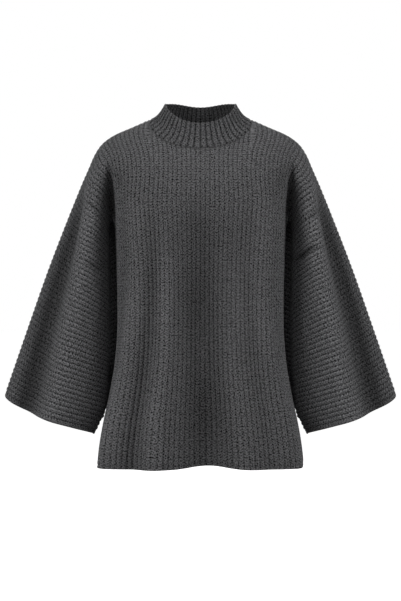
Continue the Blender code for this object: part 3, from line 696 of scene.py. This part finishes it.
def knitted_panel(name, side, material):
    """The front or the back, as two faces a wall apart: an upper block of columns from cuff to
    cuff, a lower block of the body's columns, and a band of faces round the whole edge."""
    half_span = RIBS_HALF_SPAN * COLUMNS_PER_RIB
    half_body = RIBS_HALF_BODY * COLUMNS_PER_RIB
    columns = np.arange(-half_span, half_span + 1) * RIB_PITCH / COLUMNS_PER_RIB
    body = slice(half_span - half_body, half_span + half_body + 1)
    upper_s, upper_row = np.meshgrid(columns, np.linspace(0, 1, ROWS_ABOVE + 1))
    rows_down = np.append(np.linspace(1, HEM_ROWS_FROM, ROWS_BELOW + 1), HEM_ROWS)
    lower_s, lower_row = np.meshgrid(columns[body], rows_down[1:])
    upper_ids = np.arange(upper_s.size).reshape(upper_s.shape)
    lower_ids = upper_s.size + np.arange(lower_s.size).reshape(lower_s.shape)
    lower_ids = np.concatenate([upper_ids[-1:, body], lower_ids])
    s = np.concatenate([upper_s.ravel(), lower_s.ravel()])
    row = np.concatenate([upper_row.ravel(), lower_row.ravel()])
    count = len(s)
    flat = cloth(s, row, side)
    normal = cloth_normal(s, row, side)
    folds = drape(s, flat, side)
    small = small_creases(flat, side)
    crease = small + folds
    # Painted shade in the folds and small creases, and painted highlight on the folds' ridges
    light = PAINTED_FOLD_SHADING["even"]
    light = light + PAINTED_FOLD_SHADING["per_metre"] * (folds + PAINTED_FOLD_SHADING["small_counts"] * small)
    light = np.clip(light, PAINTED_FOLD_SHADING["least"], PAINTED_FOLD_SHADING["most"])
    to_hem = np.where(row > 1, (2 - row) * (UNDERARM_Z - HEM_Z), 1.0)
    to_cuff = HALF_SPAN - np.abs(s)
    to_edge = np.minimum(to_hem, to_cuff)
    edging = smoothstep(to_edge / EDGE_WIDTH)
    crease -= EDGE_GROOVE["depth"] * np.exp(
        -(((to_edge - EDGE_GROOVE["from_edge"]) / EDGE_GROOVE["width"]) ** 2)
    )
    run = np.zeros(count)
    for ids in (upper_ids, lower_ids):
        steps = np.linalg.norm(np.diff(flat[ids], axis=0), axis=-1)
        run[ids[1:]] = run[ids[0]] + np.cumsum(steps, axis=0)
    sunk = SEAM_SINKS * (1 - smoothstep(run / SEAM_WIDTH)) * (np.abs(s) <= NECK_S)
    # Painted shade: the colour is darker along the neckline, just under the collar
    light *= 1 - SEAM_SHADE * np.exp(-((run / SEAM_WIDTH) ** 2)) * (np.abs(s) <= NECK_S)
    # Painted highlight: the colour is lighter along the body's sides below the underarm, fading
    # towards the hem
    by_side = np.exp(-(((np.abs(s) - HALF_BODY) / SIDE_PAINTED_HIGHLIGHT["width"]) ** 2)) * (row > 1)
    above_hem = smoothstep((2 - row) / SIDE_PAINTED_HIGHLIGHT["fades_over"])
    light *= 1 + SIDE_PAINTED_HIGHLIGHT["more"] * by_side * above_hem
    ribbed = rib(s) * (1 - SLEEVE_RIB_LESS * smoothstep((np.abs(s) - HALF_BODY) / SLEEVE_RIB_OVER))
    raised = ribbed * (EDGE_RIB + (1 - EDGE_RIB) * edging)
    outside = flat + normal * (raised + crease - sunk)[:, None]
    inside = flat + normal * (INSIDE_RIB * ribbed - WALL + crease - sunk)[:, None]
    points = np.concatenate([outside, inside])
    points[:, 1] = np.maximum(points[:, 1], SEAM_GAP / 2)
    faces = np.concatenate([grid_faces(upper_ids), grid_faces(lower_ids)])
    edge = np.concatenate(
        [
            upper_ids[0, ::-1],
            upper_ids[1:, 0],
            upper_ids[-1, 1 : half_span - half_body + 1],
            lower_ids[1:, 0],
            lower_ids[-1, 1:],
            lower_ids[::-1, -1][1:],
            upper_ids[-1, half_span + half_body + 1 :],
            upper_ids[::-1, -1][1:-1],
        ]
    )
    after = np.roll(edge, -1)
    band = np.stack([edge, edge + count, after + count, after], axis=-1)
    faces = np.concatenate([faces, faces[:, ::-1] + count, band])
    to_underarm = np.zeros(count)
    to_underarm[upper_ids] = run[upper_ids[-1]] - run[upper_ids]
    to_underarm[lower_ids[1:]] = run[lower_ids[0]] - run[lower_ids[1:]]
    uv = np.stack([s, to_underarm], axis=-1)
    if side == "front":
        points = points * (1, -1, 1)
    else:
        faces = faces[:, ::-1]
    return surface(
        name, points, faces, np.concatenate([uv, uv]), np.concatenate([light, light]), material
    )


wool = knitted_wool("charcoal_rib_knit_wool", "#060607", "#828284")
front = knitted_panel("front_cloth", "front", wool)
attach(front, "root")
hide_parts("front")


# ---------------------------------------------------------------------------------------------
# The back: the same T-shaped panel of the same wool, with a shallower neckline. Its sleeves hang
# in a little behind the body's sides.

back = knitted_panel("back_cloth", "back", wool)
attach(back, "root")
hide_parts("back")


# ---------------------------------------------------------------------------------------------
# The collar: a ring of 48 ribs of the same wool, linked to the neckline. It leans in from there
# and stands up round the neck. Shade is painted into its colour: darker as a whole, and more so
# inside and in the grooves between its ribs.

RIBS_COLLAR = 48
COLLAR_COLUMNS_PER_RIB = 8
COLLAR_ROWS = 26
RING_POINTS = 200
RIM_STARTS = 0.965
RIM_ARC = (0.08, 0.22, 0.36, 0.50, 0.64, 0.78, 0.92)
RIM_ARC_LENGTH = 0.0040
RIM_ARC_OUTSIDE = 4
RIM_BULGE = {"out": 0.0009, "from": 0.80, "over": 0.14}
COLLAR_PAINTED_SHADE = {"outside": 0.72, "inside": 0.38, "groove": 0.6}
COLLAR_RIB = {"height": 1.15, "at_base": 0.45, "grows_over": 0.22}
BASE_BULGE = {"out": 0.0012, "at": 0.09, "width": 0.06}
COLLAR_PROFILE = {
    "share": (0.00, 0.28, 0.52, 0.76, 1.00),
    "up": (0.00, 0.25, 0.49, 0.74, 1.00),
    "inward": (0.00, 0.41, 0.64, 0.81, 1.00),
}
RIM_HALF_WIDTH = 0.068
RIM_DEPTH = {"front": 0.058, "back": 0.060}
RIM_Z = {"front": -0.002, "side": 0.041, "back": 0.0415}
RIM_HUMP = {"front": 0.0, "back": 0.0045}
RIM_TURN = {"front": 1.2, "back": 0.7}


def quarter_ring(curve_x, curve_y, curve_z, share):
    """Points at even shares of a curve's length, from the middle (0) to the side (1)."""
    steps = np.sqrt(np.diff(curve_x) ** 2 + np.diff(curve_y) ** 2 + np.diff(curve_z) ** 2)
    run = np.concatenate([[0], np.cumsum(steps)])
    at = share * run[-1]
    return np.stack([np.interp(at, run, c) for c in (curve_x, curve_y, curve_z)], axis=-1)


def collar_ring(share_up, turns):
    """One ring of the collar, from the neckline (0) to the rim (1), at turns of the circle."""
    quarter = np.abs((turns * 4 + 2) % 4 - 2)
    in_front = quarter <= 1
    share = np.where(in_front, quarter, 2 - quarter)
    inward = smooth_through(share_up, COLLAR_PROFILE["share"], COLLAR_PROFILE["inward"])
    up = smooth_through(share_up, COLLAR_PROFILE["share"], COLLAR_PROFILE["up"])
    columns = np.linspace(0, NECK_S, RING_POINTS)
    a = np.linspace(0, math.pi / 2, RING_POINTS)
    base, rim = {}, {}
    for side in ("front", "back"):
        base[side] = quarter_ring(*top_of(columns, side), share)
        rise = np.cos(a) ** RIM_TURN[side] * (RIM_Z[side] - RIM_Z["side"])
        rise += RIM_HUMP[side] * np.sin(2 * a) ** 2
        rim[side] = quarter_ring(
            RIM_HALF_WIDTH * np.sin(a), RIM_DEPTH[side] * np.cos(a), RIM_Z["side"] + rise, share
        )
    low = np.where(in_front[:, None], base["front"], base["back"])
    high = np.where(in_front[:, None], rim["front"], rim["back"])
    ring = low + (high - low) * np.array([inward, inward, up])
    way_x, way_y = np.where(turns % 1 > 0.5, -1, 1), np.where(in_front, -1, 1)
    return ring * np.stack([way_x, way_y, np.ones(len(turns))], axis=-1)


def knitted_collar(name, material):
    """The band: rings up the outside from the neckline, over the rounded rim and down inside."""
    around_count = RIBS_COLLAR * COLLAR_COLUMNS_PER_RIB
    turns = -np.arange(around_count + 1) / around_count
    shares = np.linspace(0, RIM_STARTS, COLLAR_ROWS + 1)
    flat = np.array([collar_ring(u, turns) for u in shares])
    around = np.empty_like(flat)
    around[:, 1:-1] = flat[:, 2:] - flat[:, :-2]
    around[:, 0] = around[:, -1] = flat[:, 1] - flat[:, -2]
    normal = np.cross(np.gradient(flat, axis=0), around)
    normal /= np.linalg.norm(normal, axis=-1, keepdims=True)
    normal[0] = seam_normal(flat[0])
    along = np.cross(normal[0], around[0])
    along /= np.linalg.norm(along, axis=-1, keepdims=True)
    s = -turns * RIBS_COLLAR * RIB_PITCH
    up_share = shares[:, None, None]
    at_base = COLLAR_RIB["at_base"]
    grown = at_base + (1 - at_base) * smoothstep(up_share / COLLAR_RIB["grows_over"])
    ribbed = COLLAR_RIB["height"] * rib(s)[None, :, None] * grown
    by_base = ((up_share - BASE_BULGE["at"]) / BASE_BULGE["width"]) ** 2
    by_rim = smoothstep((up_share - RIM_BULGE["from"]) / RIM_BULGE["over"])
    swollen = BASE_BULGE["out"] * np.exp(-by_base) + RIM_BULGE["out"] * by_rim
    outside = flat + normal * (ribbed + swollen) - along * SEAM_GAP
    inside = flat + normal * (INSIDE_RIB * ribbed - WALL) - along * SEAM_GAP
    middle, half = (outside[-1] + inside[-1]) / 2, (outside[-1] - inside[-1]) / 2
    rise = flat[-1] - flat[-2]
    rise /= np.linalg.norm(rise, axis=-1, keepdims=True)
    rise *= np.linalg.norm(half, axis=-1, keepdims=True)
    turn = math.pi * np.array(RIM_ARC)[:, None, None]
    arc = middle + half * np.cos(turn) + rise * np.sin(turn)
    sheet = np.concatenate([outside, arc, inside[::-1]])[:, :-1]
    ids = np.arange(sheet.shape[0] * around_count).reshape(sheet.shape[0], around_count)
    ids = np.concatenate([ids, ids[:, :1]], axis=1)
    low = np.stack([ids[0, :-1], ids[0, 1:], ids[-1, 1:], ids[-1, :-1]], axis=-1)
    faces = np.concatenate([grid_faces(ids), low])
    points = sheet.reshape(-1, 3)
    run = np.concatenate([[0], np.cumsum(np.linalg.norm(np.diff(flat[:, 0], axis=0), axis=-1))])
    over = run[-1] + RIM_ARC_LENGTH * np.array(RIM_ARC)
    run = np.concatenate([run, over, run[::-1] + RIM_ARC_LENGTH])
    uv = np.stack(np.broadcast_arrays(s[None, :-1], -run[:, None]), axis=-1).reshape(-1, 2)
    arc_inside = len(RIM_ARC) - RIM_ARC_OUTSIDE
    # Painted shade: the collar's colour is darker as a whole, darker still inside the collar and in
    # its grooves
    light = np.repeat(
        [COLLAR_PAINTED_SHADE["outside"], COLLAR_PAINTED_SHADE["inside"]],
        [len(outside) + RIM_ARC_OUTSIDE, len(inside) + arc_inside],
    )
    groove = 1 - rib(s[:-1]) / RIB_HEIGHT
    light = (light[:, None] * (1 - COLLAR_PAINTED_SHADE["groove"] * groove**2)).ravel()
    return surface(name, points, faces, uv, light, material)


collar = knitted_collar("collar_band", wool)
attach(collar, "root")
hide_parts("collar")


# ---------------------------------------------------------------------------------------------
# The studio: a pale floor well below the hem, which glows so that it shows as white and lights
# nothing, a white surround, soft lights to the left, to the right, above and behind, and the
# camera level with the middle of the sweater, 3.5 m in front of it.

SURROUND_LIGHTS = 0.12
SURROUND_SHOWS = 1.0
FLOOR_Z = -0.96
FLOOR_HALF = 30.0
FLOOR_GLOW = 0.9
MIDDLE = (0, 0, -0.35)
floor_mesh = bpy.data.meshes.new("floor")
floor_mesh.from_pydata(
    [
        (-FLOOR_HALF, -FLOOR_HALF, FLOOR_Z),
        (FLOOR_HALF, -FLOOR_HALF, FLOOR_Z),
        (FLOOR_HALF, FLOOR_HALF, FLOOR_Z),
        (-FLOOR_HALF, FLOOR_HALF, FLOOR_Z),
    ],
    [],
    [(0, 1, 2, 3)],
)
paint = bpy.data.materials.new("matt_white_paint")
paint.use_nodes = True
painted = paint.node_tree.nodes["Principled BSDF"]
painted.inputs["Base Color"].default_value = linear("#f6f6f6")
painted.inputs["Roughness"].default_value = 0.9
painted.inputs["Emission Color"].default_value = (1, 1, 1, 1)
painted.inputs["Emission Strength"].default_value = FLOOR_GLOW
floor_mesh.materials.append(paint)
floor = bpy.data.objects.new("floor", floor_mesh)
bpy.context.scene.collection.objects.link(floor)
floor.visible_diffuse = False

world = bpy.data.worlds.new("white_surround")
world.use_nodes = True
sky = world.node_tree.nodes["Background"]
sky.inputs["Color"].default_value = (1.0, 1.0, 1.0, 1.0)
rays = add_node(world.node_tree, "ShaderNodeLightPath")
strength = add_node(
    world.node_tree,
    "ShaderNodeMapRange",
    {"Value": rays.outputs["Is Camera Ray"]},
    To_Min=SURROUND_LIGHTS,
    To_Max=SURROUND_SHOWS,
)
world.node_tree.links.new(strength.outputs[0], sky.inputs["Strength"])
bpy.context.scene.world = world


def softbox(name, at, towards, size, power):
    """A square area light at a point, turned towards another."""
    lamp = bpy.data.lights.new(name, "AREA")
    lamp.size = size
    lamp.energy = power
    made = bpy.data.objects.new(name, lamp)
    bpy.context.scene.collection.objects.link(made)
    made.location = at
    way = np.array(towards) - np.array(at)
    made.rotation_euler = (
        math.atan2(math.hypot(way[0], way[1]), -way[2]),
        0.0,
        math.atan2(-way[0], way[1]),
    )


softbox("left_light", (-2.3, -1.5, 1.0), MIDDLE, 0.8, 40)
softbox("right_light", (2.3, -1.5, 1.0), MIDDLE, 0.8, 37)
softbox("top_light", (0, -1.0, 1.9), (0, 0, -0.20), 0.8, 8)
softbox("back_light", (0, 2.6, 1.3), (0, 0, -0.30), 1.2, 40)

bpy.context.scene.view_settings.view_transform = "Standard"
IMAGE_HEIGHT_M = 1.202
CAMERA_DISTANCE = 3.5
CAMERA_Z = -0.351
SENSOR_MM = 36
lens = bpy.data.cameras.new("camera")
lens.sensor_width = SENSOR_MM
lens.lens = SENSOR_MM * CAMERA_DISTANCE / IMAGE_HEIGHT_M
camera = bpy.data.objects.new("camera", lens)
bpy.context.scene.collection.objects.link(camera)
camera.location = (0, -CAMERA_DISTANCE, CAMERA_Z)
camera.rotation_euler = (math.pi / 2, 0, 0)
bpy.context.scene.camera = camera
